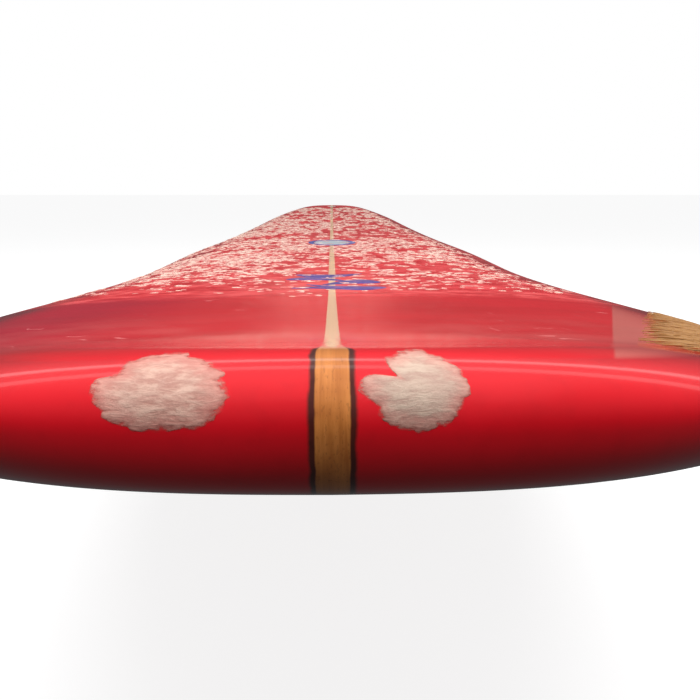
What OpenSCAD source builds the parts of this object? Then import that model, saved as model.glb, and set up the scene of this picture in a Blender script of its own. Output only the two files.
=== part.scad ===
// A longboard surfboard: a foam blank split by a wooden stringer, laminated in glass and tinted
// resin, with a slotted fin box, one adjustable fin, a leash cup, a vent plug, surf wax and old repairs.
// +Y runs from nose to tail, +X is the rider's right looking forward over the tail, +Z is the deck.
// The origin is on the flat of the bottom, on the centreline.

/* [Outline] */
// Length of the board from nose to tail
board_length = 2743; // [2400:1:3000]
// Half of the widest width
half_width = 290; // [250:1:330]
// Distance from the nose to the widest point
wide_at = 1300; // [1200:1:1400]
// Roundness of the nose along the board
nose_round_y = 3.04; // [2.6:0.01:3.4]
// Roundness of the nose across the board
nose_round_x = 2.76; // [2.4:0.01:3.2]
// Tail width as a share of the widest width
tail_share = 0.304; // [0.25:0.005:0.45]
// How late the outline starts to pull in to the tail
tail_pull = 2.6; // [2.2:0.1:3.2]

/* [Rocker and thickness] */
// Rise of the bottom at the nose
nose_rocker = 105.7; // [60:0.1:150]
// Power of the nose rocker curve
nose_curve = 1.8; // [1.6:0.05:2.4]
// Where the nose rocker runs out into the flat, from the nose
flat_from = 1150; // [1000:1:1200]
// Where the tail rocker starts, from the nose
flat_to = 1500; // [1450:1:1600]
// Rise of the bottom at the tail
tail_rocker = 104; // [60:1:140]
// Power of the tail rocker curve
tail_curve = 2.55; // [2:0.05:3]
// Thickness in the middle
mid_thick = 78; // [66:1:90]
// Thickness at the nose
nose_thick = 29.5; // [24:0.5:40]
// Extra thickness of the blunt lip at the nose
nose_lip = 4.6; // [0:0.1:8]
// Extra upward flip of the bottom at the nose
nose_flip = 2.2; // [0:0.1:5]
// Thickness at the tail
tail_thick = 26; // [22:0.5:34]

/* [Lamination] */
// Thickness of the glass and resin skin
skin = 1.2; // [1:0.1:1.5]
// Width of the wooden stringer
stringer_w = 7; // [4:0.5:9]
// Width of the dark glue line on each side of the stringer
glue_w = 1.4; // [1:0.1:2]

/* [Fin box] */
// Length of the slot that the fin slides in
slot_length = 241; // [220:1:250]
// Width of the slot
slot_w = 9.7; // [9:0.1:11]
// Distance from the tail to the rear end of the box
box_from_tail = 140; // [135:1:170]
// Depth of the box
box_depth = 24; // [22:0.5:26]

/* [Fin] */
// Depth of the fin below the board
fin_depth = 228; // [150:1:260]
// Length of the fin's base
fin_base = 168; // [140:1:180]
// How far the tip trails behind the base's rear end
fin_rake = 62; // [20:1:90]
// Running clearance of the fin's tongue on each side of the slot
slide_gap = 0.1; // [0.05:0.01:0.2]
// Diameter of the roll pin
pin_d = 4; // [3:0.1:4.4]

/* [Deck hardware] */
// Outside diameter of the leash cup's rim
cup_d = 28; // [24:0.5:32]
// Depth of the leash cup
cup_depth = 15; // [12:0.5:17]
// Diameter of the leash bar
bar_d = 4; // [3:0.5:5]
// Distance from the tail to the leash cup
cup_from_tail = 93; // [85:1:105]
// Diameter of the vent plug
vent_d = 14; // [10:0.5:18]
// Distance from the tail to the vent plug
vent_from_tail = 332; // [300:1:400]

/* [Finish] */
// Distance from the nose to the start of the wax
wax_from = 370; // [360:1:600]
// Distance from the tail to the end of the wax
wax_to_tail = 150; // [145:1:260]
// Share of the half width that the wax covers
wax_share = 0.9; // [0.7:0.01:0.91]
// Thickness of the wax
wax_thick = 0.9; // [0.5:0.1:1.5]
// Width of the printed emblems on the deck
emblem_w = 92; // [60:1:110]

/* [Hidden] */

// Resin bond between pieces, so that no two of them share a curved face
bond = 0.15;
// Steps of the outline: nose, long rail, tail corner, and from the spine to the rail
nose_steps = 26;
rail_steps = 12;
corner_steps = 8;
cross_steps = 10;
last_angle = 90;
// Straight part of the outline ends here, and the tail corner's rounding powers
corner_at = 0.965;
corner_n = 70;
corner_m = 2.6;
// The thickness is full at this distance from the nose, and falls by this power each way
full_at = 1371;
thick_power = 2.2;
// Rail section: powers of the deck and bottom curves, and the height of the rail's edge
deck_a = 3.8;
deck_b = 2;
belly_a = 6;
belly_b = 2.2;
apex = 0.47;
// How far the section lines fan out behind the nose and before the tail
nose_fan = 38;
tail_fan = 70;
fan_spread = 12;
// The bottom is straight from here to the tail, under the fin box
straight_from_tail = 420;
origin_at = (flat_from + flat_to) / 2;
// How far behind the nose the lip and the flip fade away
lip_run = 80;
core_x = stringer_w / 2 + glue_w;
tail_run = board_length - wide_at;

// Height of the bottom above its flat, at distance s from the nose
function lip_share(s) = exp(-pow(s / lip_run, 2));
straight_u = (board_length - straight_from_tail - flat_to) / (board_length - flat_to);
straight_rise = pow(straight_u, tail_curve);
straight_slope = tail_curve * pow(straight_u, tail_curve - 1);
tail_total = straight_rise + straight_slope * (1 - straight_u);
function tail_rise(u) = u < straight_u ? pow(max(u, 0), tail_curve)
                                       : straight_rise + straight_slope * (u - straight_u);
function rocker(s) = nose_rocker * pow(max(0, 1 - s / flat_from), nose_curve) + nose_flip * lip_share(s)
                   + tail_rocker * tail_rise((s - flat_to) / (board_length - flat_to)) / tail_total;

// Thickness at distance s from the nose
function fall(u) = 1 - pow(min(1, max(0, u)), thick_power);
function thickness(s) = s < full_at
    ? nose_thick + (mid_thick - nose_thick) * fall(1 - s / full_at) + nose_lip * lip_share(s)
    : tail_thick + (mid_thick - tail_thick) * fall((s - full_at) / (board_length - full_at));

// Outline points [distance from nose, half width], moved in by g
function nose_point(a, g) = [g + (wide_at - g) * (1 - pow(cos(a), 2 / nose_round_y)),
                             (half_width - g) * pow(sin(a), 2 / nose_round_x)];
function tail_point(u, b, g) = [wide_at + u * (tail_run - g),
                                (half_width * (1 - (1 - tail_share) * pow(u, tail_pull)) - g) * b];
corner_angle = acos(pow(corner_at, corner_n / 2));
function outline(g) = concat(
    [for (k = [0:nose_steps]) nose_point(last_angle * pow(k / nose_steps, 1.4), g)],
    [for (k = [1:rail_steps]) let (u = corner_at * k / rail_steps)
        tail_point(u, pow(1 - pow(u, corner_n), 1 / corner_m), g)],
    [for (k = [1:corner_steps]) let (a = corner_angle * (1 - k / corner_steps))
        tail_point(pow(cos(a), 2 / corner_n), pow(sin(a), 2 / corner_m), g)]);
line_count = nose_steps + rail_steps + corner_steps + 1;

// Half width of the outline where each fan ends
nose_fan_angle = acos(pow(1 - 2 * nose_fan / wide_at, nose_round_y / 2));
nose_fan_w = nose_point(nose_fan_angle, 0)[1];
tail_fan_w = tail_point(1 - 2 * tail_fan / tail_run, 1, 0)[1];

// A section line [spine s, rail s, rail half width]; near the ends the lines fan out
function fan(e, w, run) = e + run * pow(1 - e / (2 * run), 2) + fan_spread * w * (1 - w);
function section_line(p, g) = let (s = p[0], h = max(p[1], core_x), e = s - g,
                                   t = board_length - g - s)
    e < 2 * nose_fan ? [g + fan(e, (h - core_x) / (nose_fan_w - core_x), nose_fan), s, h]
    : t < 2 * tail_fan
        ? [board_length - g - fan(t, (h - core_x) / (tail_fan_w - core_x), tail_fan), s, h]
        : [s, s, h];

// Points of one surface, from the spine to the rail along each section line.
// side is 1 or -1, up is true for the deck, g is the inset, and lift parts deck and bottom at the rail
function skin_z(s, v, up, g, lift) = let (t = thickness(s) - 2 * g, a = rocker(s) + g + apex * t)
    up ? a + lift + ((1 - apex) * t - lift) * pow(max(0, 1 - pow(v, deck_a)), 1 / deck_b)
       : a - lift - (apex * t - lift) * pow(max(0, 1 - pow(v, belly_a)), 1 / belly_b);
function half_grid(side, up, g, lift) =
    [for (p = outline(g)) let (l = section_line(p, g))
        for (j = [0:cross_steps])
            let (v = sin(last_angle * j / cross_steps), s = l[0] + (l[1] - l[0]) * v)
                [side * (core_x + (l[2] - core_x) * v), s - origin_at,
                 skin_z(s, v, up, g, lift)]];

// Faces are lists of corners, clockwise from outside, and each is cut into triangles the same way
row = cross_steps + 1;
block = line_count * row;
last = line_count - 1;
function corner(b, i, j) = b * block + i * row + j;
function triangles(f) = len(f) == 3 ? [f] : [[f[0], f[1], f[2]], [f[0], f[2], f[3]]];
function turned(faces) = [for (f = faces) [f[2], f[1], f[0]]];
function cut(faces) = [for (f = faces) each triangles(f)];
function right_quads(b) = [for (i = [0:last - 1], j = [0:cross_steps - 1])
    [corner(b, i, j), corner(b, i + 1, j), corner(b, i + 1, j + 1), corner(b, i, j + 1)]];
function left_quads(b) = [for (i = [0:last - 1], j = [0:cross_steps - 1])
    [corner(b, i, j), corner(b, i, j + 1), corner(b, i + 1, j + 1), corner(b, i + 1, j)]];
function middle_quads(l, r) = concat(
    [for (i = [0:last - 1]) [corner(l, i, 0), corner(l, i + 1, 0), corner(r, i + 1, 0), corner(r, i, 0)]],
    [for (j = [0:cross_steps - 1])
        [corner(l, 0, j + 1), corner(l, 0, j), corner(r, 0, j), corner(r, 0, j + 1)]],
    [for (j = [0:cross_steps - 1])
        [corner(l, last, j), corner(l, last, j + 1), corner(r, last, j + 1), corner(r, last, j)]]);
function sheet_faces(l, r) = cut(concat(right_quads(r), left_quads(l), middle_quads(l, r)));
function rim_quads(ol, orr, il, ir) = let (j = cross_steps) concat(
    [for (i = [0:last - 1])
        [corner(orr, i, j), corner(orr, i + 1, j), corner(ir, i + 1, j), corner(ir, i, j)]],
    [for (i = [0:last - 1])
        [corner(ol, i + 1, j), corner(ol, i, j), corner(il, i, j), corner(il, i + 1, j)]],
    [[corner(ol, 0, j), corner(orr, 0, j), corner(ir, 0, j), corner(il, 0, j)],
     [corner(orr, last, j), corner(ol, last, j), corner(il, last, j), corner(ir, last, j)]]);

// One skin: its outer face, its inner face a skin's thickness in, and the rim between them
module skin_shell(up) {
    points = concat(half_grid(-1, up, 0, bond / 2), half_grid(1, up, 0, bond / 2),
                    half_grid(-1, up, skin, bond / 2), half_grid(1, up, skin, bond / 2));
    faces = concat(sheet_faces(0, 1), turned(sheet_faces(2, 3)), cut(rim_quads(0, 1, 2, 3)));
    polyhedron(points, up ? faces : turned(faces));
}

// Half of the foam blank, with a flat face against the glue line
core_g = skin + bond;
function belly_id(i, j) = j == cross_steps ? corner(0, i, j) : block + i * row + j;
module foam_half(side) {
    points = concat(half_grid(side, true, core_g, 0), half_grid(side, false, core_g, 0));
    belly = [for (i = [0:last - 1], j = [0:cross_steps - 1])
        [belly_id(i, j), belly_id(i, j + 1), belly_id(i + 1, j + 1), belly_id(i + 1, j)]];
    spine = [for (i = [0:last - 1]) [corner(0, i + 1, 0), corner(0, i, 0), belly_id(i, 0), belly_id(i + 1, 0)]];
    nose = [for (j = [0:cross_steps - 2])
        [corner(0, 0, j), corner(0, 0, j + 1), belly_id(0, j + 1), belly_id(0, j)]];
    tail = [for (j = [0:cross_steps - 2])
        [corner(0, last, j + 1), corner(0, last, j), belly_id(last, j), belly_id(last, j + 1)]];
    k = cross_steps - 1;
    tips = [[corner(0, 0, k), corner(0, 0, k + 1), belly_id(0, k)],
            [corner(0, last, k + 1), corner(0, last, k), belly_id(last, k)]];
    faces = cut(concat(spine, nose, tail, tips, belly, right_quads(0)));
    polyhedron(points, side > 0 ? faces : turned(faces));
}

// Side view of the blank's middle as [y, z] points, for the stringer and its glue lines
function spine_path(up, g) = let (p = half_grid(1, up, g, 0)) concat(
    [for (j = [cross_steps:-1:0]) [p[j][1], p[j][2]]],
    [for (i = [1:last - 1]) [p[i * row][1], p[i * row][2]]],
    [for (j = [0:cross_steps]) [p[last * row + j][1], p[last * row + j][2]]]);
module spine_plank(from, width) {
    top = spine_path(true, core_g);
    low = spine_path(false, core_g);
    translate([from, 0, 0]) rotate([90, 0, 90]) linear_extrude(width)
        polygon(concat(top, [for (k = [len(low) - 2:-1:1]) low[k]]));
}

// Places on the board: on the straight of the bottom at the tail, and on the deck
tail_angle = atan(tail_rocker * straight_slope / tail_total / (board_length - flat_to));
box_length = slot_length + 26;
box_rear_s = board_length - box_from_tail;
box_mid_s = box_rear_s - box_length / 2 * cos(tail_angle);
module on_bottom() {
    translate([0, box_mid_s - origin_at, rocker(box_mid_s)]) rotate([tail_angle, 0, 0]) children();
}
function deck_z(s) = rocker(s) + thickness(s);
module on_deck(s) {
    translate([0, s - origin_at, deck_z(s)]) rotate([atan((deck_z(s + 8) - deck_z(s - 8)) / 16), 0, 0])
        children();
}

// Fin box: a flanged tray with round ends, a slot, and an undercut for the pin and the nut plate
flange_w = 28;
flange_t = 2;
flange_proud = 0.3;
box_w = 22;
wall_under = 2.5;
undercut_w = 15.4;
undercut_top = 8;
undercut_h = 4.6;
entry_length = 15;
module round_bar(length, width, height) {
    translate([0, -(length - width) / 2, 0]) cylinder(d = width, h = height, $fn = 64);
    translate([0, (length - width) / 2, 0]) cylinder(d = width, h = height, $fn = 64);
    translate([-width / 2, -(length - width) / 2, 0]) cube([width, length - width, height]);
}
module box_pocket(gap) {
    on_bottom() {
        translate([0, 0, -5]) round_bar(box_length + 2 * gap, flange_w + 2 * gap, 5 + flange_t + gap);
        round_bar(box_length - flange_w + box_w + 2 * gap, box_w + 2 * gap, box_depth + gap);
    }
}
module slot_room() {
    translate([-slot_w / 2, -slot_length / 2, -1])
        cube([slot_w, slot_length, 1 + box_depth - wall_under]);
    translate([-undercut_w / 2, -slot_length / 2, undercut_top])
        cube([undercut_w, slot_length, undercut_h]);
    translate([-undercut_w / 2, -entry_length / 2, -1])
        cube([undercut_w, entry_length, 1 + undercut_top + undercut_h]);
}

// Holes for the leash cup and the vent plug
cup_wall = 2;
cup_rim_t = 1.6;
rim_proud = 0.25;
cup_s = board_length - cup_from_tail;
vent_s = board_length - vent_from_tail;
vent_depth = 10;
module cup_pocket(gap) {
    on_deck(cup_s) {
        translate([0, 0, -cup_rim_t - gap]) cylinder(d = cup_d + 2 * gap, h = 8, $fn = 96);
        translate([0, 0, -cup_depth - gap])
            cylinder(d = cup_d - 2 * cup_wall + 2 * gap, h = cup_depth, $fn = 96);
    }
}
module vent_pocket(gap) {
    on_deck(vent_s) translate([0, 0, -vent_depth - gap]) cylinder(d = vent_d + 2 * gap, h = 20, $fn = 64);
}

module foam_core(side) {
    color("ivory") difference() {
        foam_half(side);
        box_pocket(bond);
        cup_pocket(bond);
        vent_pocket(bond);
    }
}
module foam_core_left() {
    foam_core(-1);
}
module foam_core_right() {
    foam_core(1);
}
module middle_plank(from, width) {
    difference() {
        spine_plank(from, width);
        box_pocket(bond);
        cup_pocket(bond);
        vent_pocket(bond);
    }
}
module stringer() {
    color("burlywood") middle_plank(-stringer_w / 2, stringer_w);
}
module glue_line_left() {
    color("saddlebrown") middle_plank(-core_x, glue_w);
}
module glue_line_right() {
    color("saddlebrown") middle_plank(stringer_w / 2, glue_w);
}
module deck_glass() {
    color("crimson") difference() {
        skin_shell(true);
        cup_pocket(bond);
        vent_pocket(bond);
    }
}
module bottom_glass() {
    color("firebrick") difference() {
        skin_shell(false);
        box_pocket(bond);
    }
}

// A sheet lying on the deck between two lines of the outline, from rail share to rail share
function patch_points(i0, i1, v1, n, low, high) =
    [for (z = [low, high], i = [i0:i1]) let (l = section_line(outline(0)[i], 0))
        for (j = [-n:n]) let (v = v1 * abs(j) / n, s = l[0] + (l[1] - l[0]) * v)
            [sign(j) * (core_x + (l[2] - core_x) * v), s - origin_at,
             skin_z(s, v, true, 0, bond / 2) + z]];
function patch_faces(rows, cols) = let (n = rows * cols) cut(concat(
    [for (i = [0:rows - 2], j = [0:cols - 2]) let (a = i * cols + j)
        [n + a, n + a + cols, n + a + cols + 1, n + a + 1]],
    [for (i = [0:rows - 2], j = [0:cols - 2]) let (a = i * cols + j)
        [a, a + 1, a + cols + 1, a + cols]],
    [for (i = [0:rows - 2]) let (a = i * cols) [a, a + cols, n + a + cols, n + a]],
    [for (i = [0:rows - 2]) let (a = i * cols + cols - 1) [a + cols, a, n + a, n + a + cols]],
    [for (j = [0:cols - 2]) [j + 1, j, n + j, n + j + 1]],
    [for (j = [0:cols - 2]) let (a = (rows - 1) * cols + j) [a, a + 1, n + a + 1, n + a]]));
all_lines = [for (p = outline(0)) p[0]];
wax_first = search(1, [for (s = all_lines) s >= wax_from ? 1 : 0])[0];
wax_last = search(1, [for (s = all_lines) s > board_length - wax_to_tail ? 1 : 0])[0] - 1;
wax_cols = 12;
wax_gap = 0.5;
module wax_coat() {
    rows = wax_last - wax_first + 1;
    color("linen") polyhedron(
        patch_points(wax_first, wax_last, wax_share, wax_cols, wax_gap, wax_gap + wax_thick),
        patch_faces(rows, 2 * wax_cols + 1));
}

// A printed film on the deck, an oval seen from above
film_gap = 0.08;
film_t = 0.3;
spine_table = [for (p = outline(0)) let (s = section_line(p, 0)[0]) [s, deck_z(s)]];
module film(mid_s, length) {
    path = [for (k = [0:24]) let (s = mid_s + length * (k / 24 - 0.5))
        [s - origin_at, lookup(s, spine_table) + film_gap]];
    intersection() {
        translate([-emblem_w / 2, 0, 0]) rotate([90, 0, 90]) linear_extrude(emblem_w)
            polygon(concat(path, [for (k = [24:-1:0]) path[k] + [0, film_t]]));
        translate([0, mid_s - origin_at, 0]) linear_extrude(200)
            polygon([for (a = [0:15:345]) [emblem_w / 2 * cos(a), length / 2 * sin(a)]]);
    }
}
nose_emblem_s = 640;
nose_emblem_length = 330;
round_emblem_s = 1445;
round_emblem_length = 180;
module nose_emblem() {
    color("royalblue") film(nose_emblem_s, nose_emblem_length);
}
module round_emblem() {
    color("steelblue") film(round_emblem_s, round_emblem_length);
}

// A hand's width of filler that wraps the rail between two directions of the outline.
// It follows the skin from deck share v0 over the rail's edge to bottom share v1
function rail_point(side, p, k, n, v0, v1, out) = let (
    l = section_line(p, 0), a0 = asin(v0), a1 = 180 - asin(v1), a = a0 + (a1 - a0) * k / n,
    v = sin(a), s = l[0] + (l[1] - l[0]) * v, up = a <= 90,
    x = core_x + (l[2] - core_x) * v, z = skin_z(s, v, up, 0, 0),
    d = [l[2] - core_x, l[1] - l[0]], m = norm(d), level = up ? cos(a) : -cos(180 - a))
    [side * (x + out * sin(a) * d[0] / m), s - origin_at + out * sin(a) * d[1] / m, z + out * level];
module rail_patch(side, lines, v0, v1, low, high, n) {
    rows = len(lines);
    points = [for (g = [low, high], p = lines, k = [0:n]) rail_point(side, p, k, n, v0, v1, g)];
    faces = patch_faces(rows, n + 1);
    polyhedron(points, side > 0 ? faces : turned(faces));
}
filler_gap = 0.35;
filler_t = 0.6;
cloth_gap = 0.35;
filler_top = 0.5;
filler_low = 0.999;
function nose_lines(a0, a1, n) = [for (k = [0:n]) nose_point(a0 + (a1 - a0) * k / n, 0)];
module nose_filler_left() {
    color("tan") rail_patch(-1, nose_lines(1.75, 5.3, 8), filler_top, filler_low, filler_gap, filler_gap + filler_t, 10);
}
module nose_filler_right() {
    color("tan") rail_patch(1, nose_lines(0.28, 2.45, 8), filler_top, filler_low, filler_gap, filler_gap + filler_t, 10);
}
module rail_repair() {
    color("goldenrod") rail_patch(1, nose_lines(49, 60, 8), 0.92, 0.97, cloth_gap, cloth_gap + filler_t, 10);
}

module fin_box() {
    color("gainsboro") difference() {
        on_bottom() union() {
            translate([0, 0, -flange_proud]) round_bar(box_length, flange_w, flange_t + flange_proud);
            round_bar(box_length - flange_w + box_w, box_w, box_depth);
        }
        on_bottom() slot_room();
    }
}

// The fin: a tongue in the slot, a screw tab in front, and a raked foil below
tongue_w = slot_w - 2 * slide_gap;
tongue_depth = undercut_top + undercut_h + 4;
tab_length = 22;
tab_height = 5;
tongue_front = (tab_length - fin_base) / 2;
tongue_rear = tongue_front + fin_base;
pin_y = tongue_rear - 12;
pin_z = undercut_top + undercut_h / 2;
screw_y = tongue_front - tab_length / 2;
screw_d = 4;
fin_rows = 16;
fin_cols = 12;
fin_t = 9;
tip_share = 0.18;
function chord(f) = fin_base * (1 - (1 - tip_share) * pow(f, 1.5)) * sqrt(max(0.02, 1 - pow(f, 12)));
function trail(f) = tongue_rear + fin_rake * pow(f, 1.7) - 0.14 * fin_base * sin(180 * pow(f, 0.9));
function fin_point(i, j) = let (f = i / fin_rows, a = 360 * j / (2 * fin_cols), c = chord(f),
                                t = fin_t * (1 - 0.55 * f) * sqrt(c / fin_base), u = (1 - cos(a)) / 2)
    [sign(180 - a) * t / 2 * pow(abs(sin(a)), 0.8) * (1 - 0.45 * u),
     trail(f) - c + c * u, -1 - (fin_depth - 1) * f];
module fin_foil() {
    n = 2 * fin_cols;
    points = [for (i = [0:fin_rows], j = [0:n - 1]) fin_point(i, j)];
    sides = [for (i = [0:fin_rows - 1], j = [0:n - 1]) let (k = (j + 1) % n)
        [i * n + j, i * n + k, (i + 1) * n + k, (i + 1) * n + j]];
    polyhedron(points, concat(cut(sides), [[for (j = [n - 1:-1:0]) j]],
                              [[for (j = [0:n - 1]) fin_rows * n + j]]));
}
module fin() {
    color("black") on_bottom() difference() {
        union() {
            fin_foil();
            translate([-tongue_w / 2, tongue_front, -1.5]) cube([tongue_w, fin_base, 1.5 + tongue_depth]);
            translate([-tongue_w / 2, tongue_front - tab_length, 0])
                cube([tongue_w, tab_length + 1, tab_height]);
        }
        translate([0, pin_y, pin_z]) rotate([0, 90, 0])
            cylinder(d = pin_d, h = 40, center = true, $fn = 48);
        translate([0, screw_y, -1]) cylinder(d = screw_d + 0.4, h = tab_height + 2, $fn = 48);
        translate([0, screw_y, -1]) cylinder(d = 8, h = 3.6, $fn = 48);
    }
}
module fin_roll_pin() {
    color("gold") on_bottom() translate([0, pin_y, pin_z]) rotate([0, 90, 0]) difference() {
        cylinder(d = pin_d - 0.02, h = undercut_w - 0.6, center = true, $fn = 48);
        cylinder(d = pin_d - 1.6, h = undercut_w, center = true, $fn = 48);
    }
}
plate_t = 2.6;
plate_gap = 0.3;
module fin_nut_plate() {
    color("silver") on_bottom() difference() {
        translate([-undercut_w / 2 + plate_gap, screw_y - 6, undercut_top + plate_gap])
            cube([undercut_w - 2 * plate_gap, 12, plate_t]);
        translate([0, screw_y, 0]) cylinder(d = screw_d, h = box_depth, $fn = 48);
    }
}
module fin_screw() {
    color("silver") on_bottom() translate([0, screw_y, 0]) difference() {
        union() {
            translate([0, 0, 0.2]) cylinder(d = 7.4, h = 2.4, $fn = 48);
            cylinder(d = screw_d - 0.02, h = 15, $fn = 48);
        }
        translate([-4, -0.6, -1]) cube([8, 1.2, 2.2]);
    }
}

module leash_cup() {
    color("whitesmoke") on_deck(cup_s) difference() {
        union() {
            translate([0, 0, -cup_rim_t]) cylinder(d = cup_d, h = cup_rim_t + rim_proud, $fn = 96);
            translate([0, 0, -cup_depth]) cylinder(d = cup_d - 2 * cup_wall, h = cup_depth - 1, $fn = 96);
        }
        translate([0, 0, -cup_depth + cup_wall])
            cylinder(d = cup_d - 4 * cup_wall, h = cup_depth + 2, $fn = 96);
        leash_bar_shape(0);
    }
}
module leash_bar_shape(less) {
    translate([0, 0, -cup_depth / 2 + 1]) rotate([0, 90, 0])
        cylinder(d = bar_d - 2 * less, h = cup_d - 3 * cup_wall, center = true, $fn = 48);
}
module leash_bar() {
    color("silver") on_deck(cup_s) leash_bar_shape(0.01);
}
module vent_plug() {
    color("white") on_deck(vent_s) difference() {
        union() {
            translate([0, 0, -vent_depth]) cylinder(d = vent_d - 2 * bond, h = vent_depth, $fn = 64);
            translate([0, 0, -1]) cylinder(d = vent_d - 2 * bond, h = 1 + rim_proud, $fn = 64);
        }
        translate([-3.5, -0.7, -1.2]) cube([7, 1.4, 3]);
    }
}

foam_core_left();
foam_core_right();
stringer();
glue_line_left();
glue_line_right();
deck_glass();
bottom_glass();
wax_coat();
nose_emblem();
round_emblem();
nose_filler_left();
nose_filler_right();
rail_repair();
fin_box();
fin();
fin_roll_pin();
fin_screw();
fin_nut_plate();
leash_cup();
leash_bar();
vent_plug();
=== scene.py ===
# A red longboard surfboard with a wooden stringer, standing over a pale studio floor on its fin.
# The sections follow the order in which a real board is put together: foam blank, stringer,
# laminate, emblems, wax, old repairs, deck plugs, fin box and fin.
import math

import bmesh
import bpy
import numpy as np
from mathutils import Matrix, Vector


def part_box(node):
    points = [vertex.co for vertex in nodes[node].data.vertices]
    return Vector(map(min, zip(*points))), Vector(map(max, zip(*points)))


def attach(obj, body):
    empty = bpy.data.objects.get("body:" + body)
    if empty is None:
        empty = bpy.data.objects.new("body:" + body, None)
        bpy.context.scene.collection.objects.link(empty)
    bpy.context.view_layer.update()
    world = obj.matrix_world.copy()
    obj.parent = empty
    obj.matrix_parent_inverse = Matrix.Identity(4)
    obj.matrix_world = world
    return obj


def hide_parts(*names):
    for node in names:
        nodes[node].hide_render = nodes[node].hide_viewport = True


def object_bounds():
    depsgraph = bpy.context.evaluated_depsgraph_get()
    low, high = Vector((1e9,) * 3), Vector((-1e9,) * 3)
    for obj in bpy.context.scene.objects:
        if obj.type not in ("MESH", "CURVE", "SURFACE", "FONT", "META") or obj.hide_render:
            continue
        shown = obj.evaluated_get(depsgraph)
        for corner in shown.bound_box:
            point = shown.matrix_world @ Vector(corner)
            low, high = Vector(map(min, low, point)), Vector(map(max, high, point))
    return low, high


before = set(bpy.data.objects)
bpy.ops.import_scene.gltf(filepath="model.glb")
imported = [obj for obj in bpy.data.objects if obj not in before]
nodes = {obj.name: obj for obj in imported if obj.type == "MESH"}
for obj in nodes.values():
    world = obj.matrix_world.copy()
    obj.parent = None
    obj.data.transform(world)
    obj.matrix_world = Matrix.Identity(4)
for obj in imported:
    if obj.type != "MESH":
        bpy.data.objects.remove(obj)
cad_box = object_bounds()


# ---------------------------------------------------------------- camera
# The camera stands a hand's length in front of the nose, a little above the deck, and looks
# along the board towards its tail.
nose_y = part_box("bottom_glass")[0][1]
camera_back = 0.1721
camera_height = 0.1767
camera_tilt = 10.9
camera_turn = 1.25
camera_data = bpy.data.cameras.new("studio_camera")
camera_data.lens = 42.6
camera_data.clip_start = 0.01
camera = bpy.data.objects.new("studio_camera", camera_data)
camera.location = (0.0, nose_y - camera_back, camera_height)
camera.rotation_euler = (math.radians(90 - camera_tilt), 0.0, math.radians(-camera_turn))
bpy.context.collection.objects.link(camera)
bpy.context.scene.camera = camera


# ---------------------------------------------------------------- foam blank
# Two halves of shaped polyurethane foam, hidden under the laminate. The foam is cream and
# fine celled, and each half is glued to the stringer.
class Wire:
    """One socket of a node tree. Arithmetic on wires adds Math nodes."""

    def __init__(self, tree, socket=None):
        self.tree = tree
        self.socket = socket

    def add(self, kind, inputs, out=0, stops=None, **settings):
        """Adds a node of that kind: its settings come first, then the values or links of its
        inputs. Returns the wire of one output."""
        node = self.tree.nodes.new(kind)
        for key, value in settings.items():
            setattr(node, key, value)
        if stops:
            ramp = node.color_ramp
            while len(ramp.elements) < len(stops):
                ramp.elements.new(0.5)
            for element, (place, colour) in zip(ramp.elements, stops):
                element.position = place
                element.color = (*colour, 1)
        for key, value in inputs.items():
            if isinstance(value, Wire):
                self.tree.links.new(value.socket, node.inputs[key])
            else:
                node.inputs[key].default_value = value
        return Wire(self.tree, node.outputs[out])

    def math(self, operation, a, b=0.0):
        """One sum, difference, product or absolute value of wires and numbers."""
        return self.add("ShaderNodeMath", {0: a, 1: b}, operation=operation)

    def __add__(self, other):
        return self.math("ADD", self, other)

    def __radd__(self, other):
        return self.math("ADD", other, self)

    def __sub__(self, other):
        return self.math("SUBTRACT", self, other)

    def __rsub__(self, other):
        return self.math("SUBTRACT", other, self)

    def __mul__(self, other):
        return self.math("MULTIPLY", self, other)

    def __rmul__(self, other):
        return self.math("MULTIPLY", other, self)

    def __abs__(self):
        return self.math("ABSOLUTE", self)

    def step(self, low, high):
        """0 below low, 1 above high, and smooth between. A high under low turns it round."""
        if low > high:
            return 1 - self.step(high, low)
        inputs = {"Value": self, "From Min": low, "From Max": high}
        return self.add("ShaderNodeMapRange", inputs, interpolation_type="SMOOTHSTEP")

    def blend(self, a, b):
        """Colour a where this mask is 0, and colour b where it is 1."""
        a, b = (c if isinstance(c, Wire) else (*c, 1) for c in (a, b))
        return self.add("ShaderNodeMix", {0: self, 6: a, 7: b}, out=2, data_type="RGBA")

    def place(self, scale=(1, 1, 1), turn=(0, 0, 0)):
        """The same coordinates, scaled and then turned, so that a pattern on them stretches."""
        return self.add("ShaderNodeMapping", {"Vector": self, "Scale": scale, "Rotation": turn})

    def noise(self, scale, detail=4.0, rough=0.5, warp=0.0):
        """Cloudy noise from about 0 to 1, with roughly that many spots to the metre."""
        inputs = {"Vector": self, "Scale": scale, "Detail": detail, "Roughness": rough}
        inputs["Distortion"] = warp
        return self.add("ShaderNodeTexNoise", inputs)

    def own(self, name):
        """A number that the mesh stores at its points."""
        return self.add("ShaderNodeAttribute", {}, out=2, attribute_name=name)

    def cells(self, scale):
        """Distance to the nearest of many scattered points."""
        return self.add("ShaderNodeTexVoronoi", {"Vector": self, "Scale": scale})

    def part(self, index):
        """The x, y or z of a place, for an index of 0, 1 or 2."""
        return self.add("ShaderNodeSeparateXYZ", {0: self}, out=index)


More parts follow.
